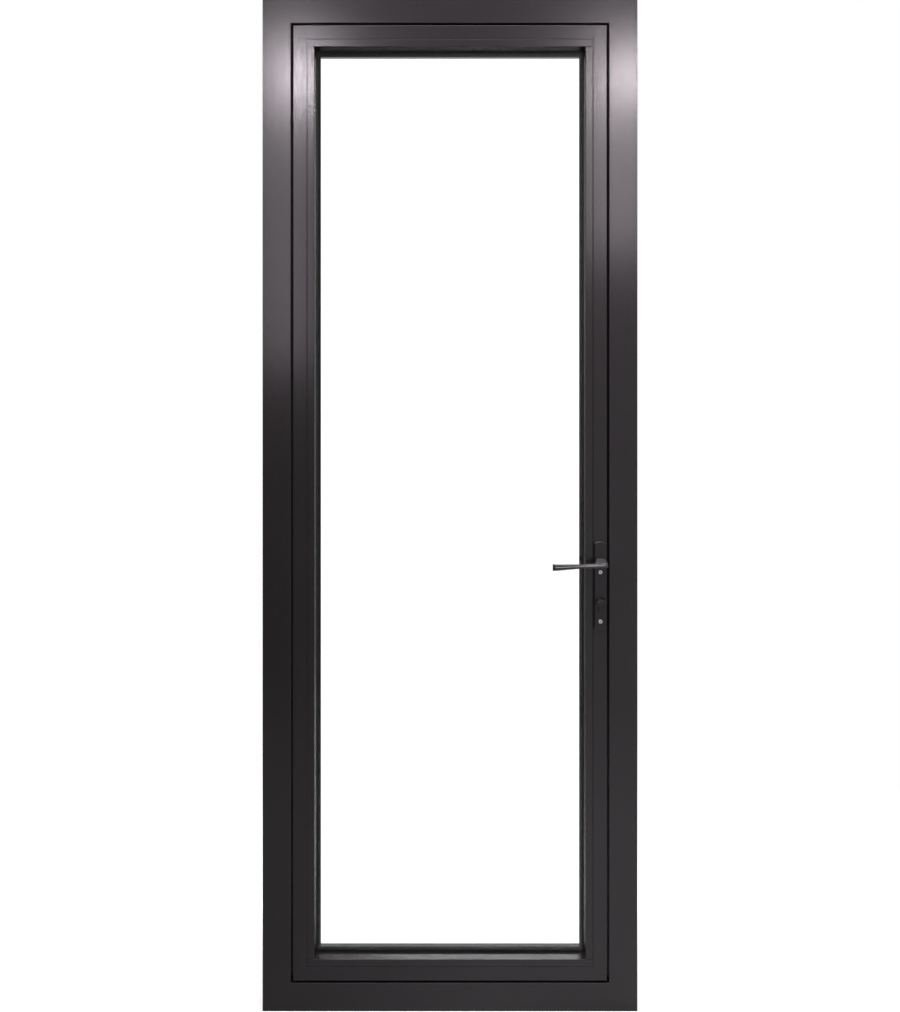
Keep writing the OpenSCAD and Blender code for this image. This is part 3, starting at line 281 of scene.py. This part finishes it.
def loft(name, rings, mat, open_start=False):
    """A skin through rings with the same number of points, capped at its ends."""
    shape = bmesh.new()
    rows = [[shape.verts.new(p) for p in ring] for ring in rings]
    count = len(rows[0])
    for low, high in zip(rows, rows[1:]):
        for i in range(count):
            j = (i + 1) % count
            shape.faces.new((low[i], low[j], high[j], high[i]))
    if not open_start:
        shape.faces.new(list(reversed(rows[0])))
    shape.faces.new(rows[-1])
    bmesh.ops.recalc_face_normals(shape, faces=shape.faces)
    mesh = bpy.data.meshes.new(name)
    shape.to_mesh(mesh)
    shape.free()
    mesh.shade_smooth()
    mesh.set_sharp_from_angle(angle=math.radians(SHARP_ANGLE))
    obj = bpy.data.objects.new(name, mesh)
    bpy.context.scene.collection.objects.link(obj)
    mesh.materials.append(mat)
    return obj


def circle(x, y, z, radius, angles):
    """A ring round the Y axis through x and z, at depth y."""
    return [(x + radius * math.cos(a), y, z + radius * math.sin(a)) for a in angles]


def smooth_row(rows, t):
    """Row of a table at t, its first column, on a smooth curve through the rows."""
    last = len(rows) - 1
    k = max(i for i in range(last) if rows[i][0] <= t or i == 0)
    a, b = rows[k], rows[k + 1]
    before, after = rows[max(k - 1, 0)], rows[min(k + 2, last)]
    span = b[0] - a[0]
    s = (t - a[0]) / span
    out = []
    for c in range(1, len(a)):
        m0 = (b[c] - before[c]) / (b[0] - before[0]) * span
        m1 = (after[c] - a[c]) / (after[0] - a[0]) * span
        out.append((2 * s**3 - 3 * s**2 + 1) * a[c] + (s**3 - 2 * s**2 + s) * m0
                   + (3 * s**2 - 2 * s**3) * b[c] + (s**3 - s**2) * m1)
    return out


def reach(outline, angle):
    """How far an outline round the origin reaches at an angle."""
    parallel, slack = 1e-9, 1e-6
    c, s = math.cos(angle), math.sin(angle)
    best = 0
    for (x0, y0), (x1, y1) in zip(outline, outline[1:] + outline[:1]):
        det = (x1 - x0) * s - (y1 - y0) * c
        if abs(det) < parallel:
            continue
        far = (y0 * (x1 - x0) - x0 * (y1 - y0)) / det
        along = (y0 * c - x0 * s) / det
        if far > 0 and -slack <= along <= 1 + slack:
            best = max(best, far)
    return best


# Lever, in metres

# Stations of the bar: share of its length, half height, drop of the middle
BAR_ROWS = [
    (0.15, 0.0061, 0.0005),
    (0.32, 0.0052, 0.0016),
    (0.46, 0.0053, 0.0021),
    (0.62, 0.0063, 0.0027),
    (0.74, 0.0069, 0.0034),
    (0.88, 0.0076, 0.0042),
    (0.95, 0.0078, 0.0044),
    (1.0, 0.0079, 0.0045),
]
BAR_FIRST, BAR_HALF, BAR_DROP = BAR_ROWS[0]
BAR_T = 0.012
BAR_STEPS = 30
# Share of the length where the bar's tip begins, and how soon its faces are fully hollow
BAR_END = 0.95
HOLLOW_RATE = 1.7
# Stations of the tip: share of the length, reach of the ridge in thicknesses, loss of half height
TIP_ROWS = [(0.985, 0.58, 0), (0.997, 0.43, 0), (1.0, 0.39, 0.0004)]
# Block between the neck and the bar, and its stations from back to front
BLOCK_W = 0.019
BLOCK_H = 0.024
BLOCK_ROWS = (0, 0.02, 0.25, 0.5, 0.75, 0.95)
# Power that makes the block's section nearly square
BLOCK_POWER = 22
# Height of the block's front in bar heights, and how far its section is a roof by then
SHOULDER = 1.18
SHOULDER_ROOF = 0.1
# Round neck, the room between plate and block, and the step from neck to block
NECK_R = 0.010
PLATE_ROOM = 0.0006
NECK_STEP = 0.0002
# Turn from the block into the bar: its steps, power of its corner, and how soon its section is a roof
TURN_STEPS = 10
TURN_POWER = 0.35
TURN_ROOF = 1.1
# Upper half of the bar's roof-shaped section, from its ridge at 1 to its back at -1, flat and hollow
FLAT = [(0.97, 0), (0.95, 0.03), (0.80, 0.18), (0.62, 0.37), (0.47, 0.59), (0.36, 0.84),
        (-0.1, 1), (-0.6, 0.94), (-1, 0.62)]
HOLLOW = [(0.97, 0), (0.955, 0.02), (0.74, 0.22), (0.71, 0.44), (0.67, 0.68), (0.30, 0.87),
          (-0.1, 1), (-0.6, 0.94), (-1, 0.62)]
# Angles of a section's points in degrees, closest where the section bends
HALF_TURN = [0, 1.2, 3, 6, 10.8, 14, 16.5, 18, 22, 31.8, 38, 43, 45.4, 47.5, 51.5, 58, 62.9, 66.8, 71,
             82, 95.7, 108, 122.5, 131, 134, 136, 140, 148.2, 160, 170, 180]
ANGLES = [math.radians(a) for a in HALF_TURN] + [math.radians(360 - a) for a in HALF_TURN[-2:0:-1]]


def roof(hollow):
    """Outline of the bar's section with its two front faces hollowed by a share."""
    half = [(a[0] + (b[0] - a[0]) * hollow, a[1] + (b[1] - a[1]) * hollow) for a, b in zip(FLAT, HOLLOW)]
    return half + [(x, -y) for x, y in half[:0:-1]]


def squared(angle):
    """How far the block's nearly square section reaches at an angle."""
    total = abs(math.cos(angle)) ** BLOCK_POWER + abs(math.sin(angle)) ** BLOCK_POWER
    return total ** (-1 / BLOCK_POWER)


def section(inner, outer, half, drop, blend, hollow=0):
    """Ring across the lever from its inner to its outer side; blend runs from block to roof section."""
    outline = roof(hollow)
    ring = []
    for angle in ANGLES:
        r = (1 - blend) * squared(angle) + blend * reach(outline, angle)
        across = (r * math.cos(angle) + 1) / 2
        spot = inner.lerp(outer, across)
        ring.append((spot.x, spot.y, spot.z + r * math.sin(angle) * half - drop))
    return ring


def block_rings(axis, start, pivot, right_end):
    """From the block's back, square round the neck, to its front, where the turn begins."""
    left = axis.x - BLOCK_W / 2
    right = axis.x + BLOCK_W / 2
    rings = []
    for s in BLOCK_ROWS:
        y = start + (pivot.y - start) * s
        half = BLOCK_H / 2 + (BAR_HALF * SHOULDER - BLOCK_H / 2) * s
        inner = Vector((left + (pivot.x - left) * s, y, axis.z))
        outer = Vector((right + (right_end - right) * s, y, axis.z))
        rings.append(section(inner, outer, half, 0, SHOULDER_ROOF * s))
    return rings


def turn_rings(pivot, corner):
    """Round the pivot, from the block's front into the bar, past an outer corner."""
    rings = []
    for i in range(1, TURN_STEPS):
        share = i / TURN_STEPS
        u = math.radians(90 * share)
        outer = Vector((pivot.x + (corner.x - pivot.x) * math.cos(u) ** TURN_POWER,
                        pivot.y + (corner.y - pivot.y) * math.sin(u) ** TURN_POWER, pivot.z))
        half = BAR_HALF * (SHOULDER - (SHOULDER - 1) * share)
        blend = min(1, SHOULDER_ROOF + TURN_ROOF * share)
        rings.append(section(pivot, outer, half, BAR_DROP * share, blend))
    return rings


def bar_ring(axis, length, back, along, depth, hollow, loss=0):
    """Section of the bar at a share of its length."""
    half, drop = smooth_row(BAR_ROWS, along)
    x = axis.x - along * length
    inner = Vector((x, back, axis.z))
    outer = Vector((x, back - depth, axis.z))
    return section(inner, outer, half - loss, drop, 1, hollow)


def make_lever():
    """Round neck, block, turn, roof-shaped bar and sloped tip, in one skin."""
    low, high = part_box("inside_lever")
    axis = Vector(joints["handle_turn"]["pos_m"])
    plate_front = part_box("inside_backplate")[0].y
    start = plate_front - PLATE_ROOM
    back = low.y + BAR_T
    length = axis.x - low.x
    pivot = Vector((axis.x - BAR_FIRST * length, back, axis.z))
    rings = [circle(axis.x, y, axis.z, NECK_R, ANGLES) for y in (high.y, start + NECK_STEP)]
    rings += block_rings(axis, start, pivot, high.x)
    rings += turn_rings(pivot, Vector((high.x, low.y, axis.z)))
    for i in range(BAR_STEPS + 1):
        share = i / BAR_STEPS
        along = BAR_FIRST + (BAR_END - BAR_FIRST) * share
        rings.append(bar_ring(axis, length, back, along, BAR_T, min(1, HOLLOW_RATE * share)))
    for along, ridge, loss in TIP_ROWS:
        rings.append(bar_ring(axis, length, back, along, ridge * BAR_T, 1, loss))
    lever = loft("lever", rings, lever_coat)
    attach(lever, "handle")
    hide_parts("inside_lever")


# Knob, in metres

# Radii of the stud in the plate, the foot on the plate and the neck, and depth of the head
STUD_R = 0.005
FOOT_R = 0.012
KNOB_NECK_R = 0.009
HEAD_DEPTH = 0.025
# Rounding of the foot, its flat's loss of radius, and the depths of its rim and of the fillet beside it
FOOT_ROUND = 0.0014
FOOT_FLAT = 0.0004
RIM_AT = 0.0016
FILLET_AT = 0.0044
# Flare from the neck to the head, as radius and depth, and how far its centre is short of the head
FLARE = (0.004, 0.005)
FLARE_BACK = 0.001
# Rounding of the head's back edge and its depth from the head's back
HEAD_ROUND = 0.004
HEAD_EDGE_AT = 0.0102
KNOB_TURNS = 64


def arc(cx, cy, r0, r1, start, end, steps):
    """Points of an elliptic arc in radius and depth, between two angles in degrees."""
    angles = [math.radians(start + (end - start) * i / steps) for i in range(steps + 1)]
    return [(cx + r0 * math.cos(a), cy + r1 * math.sin(a)) for a in angles]


def knob_profile(radius, stud_end, head_back):
    """Radius and depth from the stud's end to the middle of the head."""
    middle = head_back + HEAD_DEPTH / 2
    profile = [(STUD_R, stud_end), (STUD_R, 0), (FOOT_R - FOOT_FLAT, 0)]
    profile += arc(FOOT_R - FOOT_ROUND, RIM_AT, FOOT_ROUND, FOOT_ROUND, -22.5, 90, 5)
    profile += arc(KNOB_NECK_R + FOOT_ROUND, FILLET_AT, FOOT_ROUND, FOOT_ROUND, 270, 180, 5)
    profile += arc(KNOB_NECK_R + FLARE[0], head_back - FLARE_BACK, *FLARE, 180, 112, 6)
    profile += arc(radius - HEAD_ROUND, head_back + HEAD_EDGE_AT, HEAD_ROUND, HEAD_ROUND, -70, 0, 6)
    profile += arc(0, middle, radius, HEAD_DEPTH / 2, 0, 89, 18)
    return profile


def make_knob():
    """Turned knob on the outside plate."""
    low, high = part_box("outside_knob")
    plate_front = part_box("outside_backplate")[1].y
    centre = (low + high) / 2
    profile = knob_profile(high.x - centre.x, low.y - plate_front, high.y - plate_front - HEAD_DEPTH)
    angles = [2 * math.pi * i / KNOB_TURNS for i in range(KNOB_TURNS)]
    rings = [circle(centre.x, plate_front + depth, centre.z, r, angles) for r, depth in profile]
    knob = loft("knob", rings, handle_coat)
    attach(knob, "leaf")
    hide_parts("outside_knob")


# Painted shade in the screw sockets, in metres

# From the end of a screw's head to its axis
SCREW_HEAD_R = 0.0045
# Hexagon's corner radius, and depths of its rim, wall and floor
SOCKET_R = 0.0019
SOCKET_RIM = 0.0001
SOCKET_WALL = 0.0015
SOCKET_FLOOR = 0.0016
# Size of the floor against the mouth
SOCKET_TAPER = 0.8


def make_sockets():
    """Dark hexagon cups in the heads of the two backplate screws, painted shade for the depth of their sockets."""
    low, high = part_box("backplate_screws")
    x = (low.x + high.x) / 2
    rows = ((SOCKET_R, SOCKET_RIM), (SOCKET_R, SOCKET_WALL), (SOCKET_R * SOCKET_TAPER, SOCKET_FLOOR))
    angles = [math.radians(60 * i) for i in range(6)]
    # Each cup is painted shade sitting in a real hexagon socket
    for name, z in (("socket_low", low.z + SCREW_HEAD_R), ("socket_high", high.z - SCREW_HEAD_R)):
        rings = [circle(x, low.y + depth, z, r, angles) for r, depth in rows]
        cup = loft(name, rings, socket, open_start=True)
        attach(cup, "leaf")


# Latch spring

def press_latch_spring():
    """Gives the latch spring a mesh of its own."""
    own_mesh(nodes["latch_spring"])


make_lever()
make_knob()
make_sockets()
press_latch_spring()


# Stage, light and camera

WHITE = (1, 1, 1)
# Strength of the white seen through the panes, which makes up for what they hold back
THROUGH = 1.3
# Floor: half its width, how far it lies under the sill, and its tone from left to right in reflections, a painted
# shade that is darker to the left
FLOOR_HALF = 3
FLOOR_DROP = 0.0005
FLOOR_X = (-0.5, 0.1)
FLOOR_PAINTED_SHADE = (0.13, 0.27)
# Share of plain white in what the eye sees of the floor, from near the door to far from it
GLOW_REACH = (0.5, 2.4)
GLOW_SHARES = (0.55, 1.0)
# Room in front of the door, by the X of a direction: dim on the left, lighter on the right
ROOM_X = (-0.2, 0.06)
ROOM_TONES = (0.08, 0.55)
# Light from behind the door, by the Z of a direction
OUTSIDE_Z = (-0.1, 0.2)
OUTSIDE_TONES = (0.3, 0.5)
# Y of a direction over which the room gives way to what is behind the door
FRONT_TO_BACK = (-0.25, 0.5)
SOFT_WHITE = (1, 0.985, 0.99)


def seen_straight(tree, path, share=1.0):
    """A share for rays from the eye, 1 for those that came through the glass, and 0 after a bounce."""
    bounces = calc(tree, "ADD", path.outputs["Glossy Depth"], path.outputs["Diffuse Depth"])
    straight = calc(tree, "LESS_THAN", bounces, 0.5)
    through = calc(tree, "MULTIPLY", path.outputs["Is Transmission Ray"], straight)
    return calc(tree, "MULTIPLY_ADD", path.outputs["Is Camera Ray"], share, through)


def white_strength(tree, path):
    """1 to the eye, and a little more through the panes."""
    return map_range(tree, path.outputs["Is Transmission Ray"], (0, 1), (1.0, THROUGH))


def floor_material():
    """Looks white but keeps a faint shadow; in reflections its colour is a painted shade, darker to the left."""
    mat = bpy.data.materials.new("floor")
    mat.use_nodes = True
    tree = mat.node_tree
    tree.nodes.clear()
    path = tree.nodes.new("ShaderNodeLightPath")
    place, axes = position(tree, "Object")
    # Painted shade: the floor's tone in reflections is darker to the left, standing in for the room's light
    # falling off
    mirrored = map_range(tree, axes["X"], FLOOR_X, FLOOR_PAINTED_SHADE)
    pale = tree.nodes.new("ShaderNodeBsdfDiffuse")
    tone = calc(tree, "MAXIMUM", mirrored, path.outputs["Is Camera Ray"])
    tree.links.new(tone, pale.inputs["Color"])
    glow = tree.nodes.new("ShaderNodeEmission")
    glow.inputs["Color"].default_value = (*WHITE, 1)
    tree.links.new(white_strength(tree, path), glow.inputs["Strength"])
    away = tree.nodes.new("ShaderNodeVectorMath")
    away.operation = "LENGTH"
    tree.links.new(place, away.inputs[0])
    share = map_range(tree, away.outputs["Value"], GLOW_REACH, GLOW_SHARES)
    seen = seen_straight(tree, path, share)
    out = tree.nodes.new("ShaderNodeOutputMaterial")
    surface = mixed(tree, seen, pale.outputs["BSDF"], glow.outputs["Emission"])
    tree.links.new(surface, out.inputs["Surface"])
    return mat


def stage_floor():
    """Pale floor under the sill."""
    mesh = bpy.data.meshes.new("floor")
    h = FLOOR_HALF
    mesh.from_pydata([(-h, -h, 0), (h, -h, 0), (h, h, 0), (-h, h, 0)], [], [(0, 1, 2, 3)])
    mesh.materials.append(floor_material())
    obj = bpy.data.objects.new("floor", mesh)
    bpy.context.scene.collection.objects.link(obj)
    obj.location.z = -FLOOR_DROP


def background(tree, colour, strength):
    node = tree.nodes.new("ShaderNodeBackground")
    node.inputs["Color"].default_value = (*colour, 1)
    tree.links.new(strength, node.inputs["Strength"])
    return node.outputs["Background"]


def studio_world():
    """White to the eye, through the glass and, behind the door, in what reflects it; a dim room in front."""
    world = bpy.data.worlds.new("world")
    bpy.context.scene.world = world
    world.use_nodes = True
    tree = world.node_tree
    tree.nodes.clear()
    path = tree.nodes.new("ShaderNodeLightPath")
    axes = position(tree, "Generated")[1]
    room = map_range(tree, axes["X"], ROOM_X, ROOM_TONES)
    outside = map_range(tree, axes["Z"], OUTSIDE_Z, OUTSIDE_TONES)
    mirrored = calc(tree, "SUBTRACT", path.outputs["Is Glossy Ray"], path.outputs["Is Transmission Ray"])
    behind = map_range(tree, mirrored, (0, 1), (outside, 1.0))
    soft = background(tree, SOFT_WHITE, map_range(tree, axes["Y"], FRONT_TO_BACK, (room, behind)))
    white = background(tree, WHITE, white_strength(tree, path))
    out = tree.nodes.new("ShaderNodeOutputWorld")
    tree.links.new(mixed(tree, seen_straight(tree, path), soft, white), out.inputs["Surface"])


# Camera, upright and shifted down in place of a tilt
EYE_Y = -2.635
EYE_Z = 1.411
SENSOR = 36
LENS = 38.54
SHIFT_Y = -0.0816
CAMERA_FAR = 100
# Point that the large lamps face, and the colours of the small ones that show in the coat
MIDDLE = (0, 0, 1.2)
LEFT_TINT = (1, 0.98, 0.98)
RIGHT_TINT = (1, 0.97, 0.96)
WARM_TINT = (1, 0.97, 0.95)


def lamp(name, place, target, size, power, colour=WHITE, mirrored=True, through_glass=False):
    """Area lamp that the eye doesn't see, though mirroring surfaces or the view through the panes may."""
    light = bpy.data.lights.new(name, "AREA")
    light.shape = "RECTANGLE"
    light.size, light.size_y = size
    light.energy = power
    light.color = colour
    obj = bpy.data.objects.new(name, light)
    bpy.context.scene.collection.objects.link(obj)
    obj.location = place
    obj.rotation_euler = (Vector(target) - Vector(place)).to_track_quat("-Z", "Y").to_euler()
    obj.visible_camera = False
    obj.visible_transmission = through_glass
    obj.visible_glossy = mirrored


def studio_lamps():
    """Broad lamps first, then four small ones whose reflections show on the frame and leaf."""
    lamp("key", (-3.2, -3.0, 3.4), MIDDLE, size=(1.4, 1.6), power=70, mirrored=False)
    lamp("fill", (3.2, -3.0, 2.4), MIDDLE, size=(1.4, 1.8), power=60, mirrored=False)
    lamp("overhead", (0.1, -0.22, 4.2), (0.1, -0.12, 0), size=(1.0, 0.25), power=300, mirrored=False)
    lamp("ceiling", (0.1, -1.0, 4.2), (0.1, -1.0, 0), size=(1.6, 1.6), power=66)
    lamp("sky", (0.65, 4.6, 4.99), (0.1, 0, 0.12), size=(2.5, 2.08), power=58, through_glass=True)
    lamp("back_left", (-3.2, 3.0, 2.6), MIDDLE, size=(1.4, 1.8), power=80, mirrored=False)
    lamp("back_right", (3.2, 3.0, 2.6), MIDDLE, size=(1.4, 1.8), power=80, mirrored=False)
    lamp("downlight_left", (-0.71, EYE_Y, 3.07), (-0.36, 0, 2.25), size=(0.10, 0.10), power=7.5,
         colour=LEFT_TINT)
    lamp("downlight_right", (0.86, EYE_Y, 3.08), (0.43, 0, 2.24), size=(0.13, 0.13), power=6.3,
         colour=WARM_TINT)
    lamp("wall_left", (-0.80, EYE_Y, 2.49), (-0.38, 0, 1.9), size=(0.24, 1.62), power=5.2,
         colour=LEFT_TINT)
    lamp("wall_right", (0.82, EYE_Y, 2.72), (0.40, 0, 2.0), size=(0.30, 0.96), power=5.8,
         colour=RIGHT_TINT)


def photo_camera():
    """Camera at the photograph's place, level and square to the door."""
    data = bpy.data.cameras.new("camera")
    obj = bpy.data.objects.new("camera", data)
    bpy.context.scene.collection.objects.link(obj)
    obj.location = (0, EYE_Y, EYE_Z)
    obj.rotation_euler = (math.radians(90), 0, 0)
    data.sensor_width = SENSOR
    data.lens = LENS
    data.shift_y = SHIFT_Y
    data.clip_end = CAMERA_FAR
    bpy.context.scene.camera = obj


stage_floor()
studio_world()
studio_lamps()
photo_camera()
bpy.context.scene.view_settings.view_transform = "Standard"
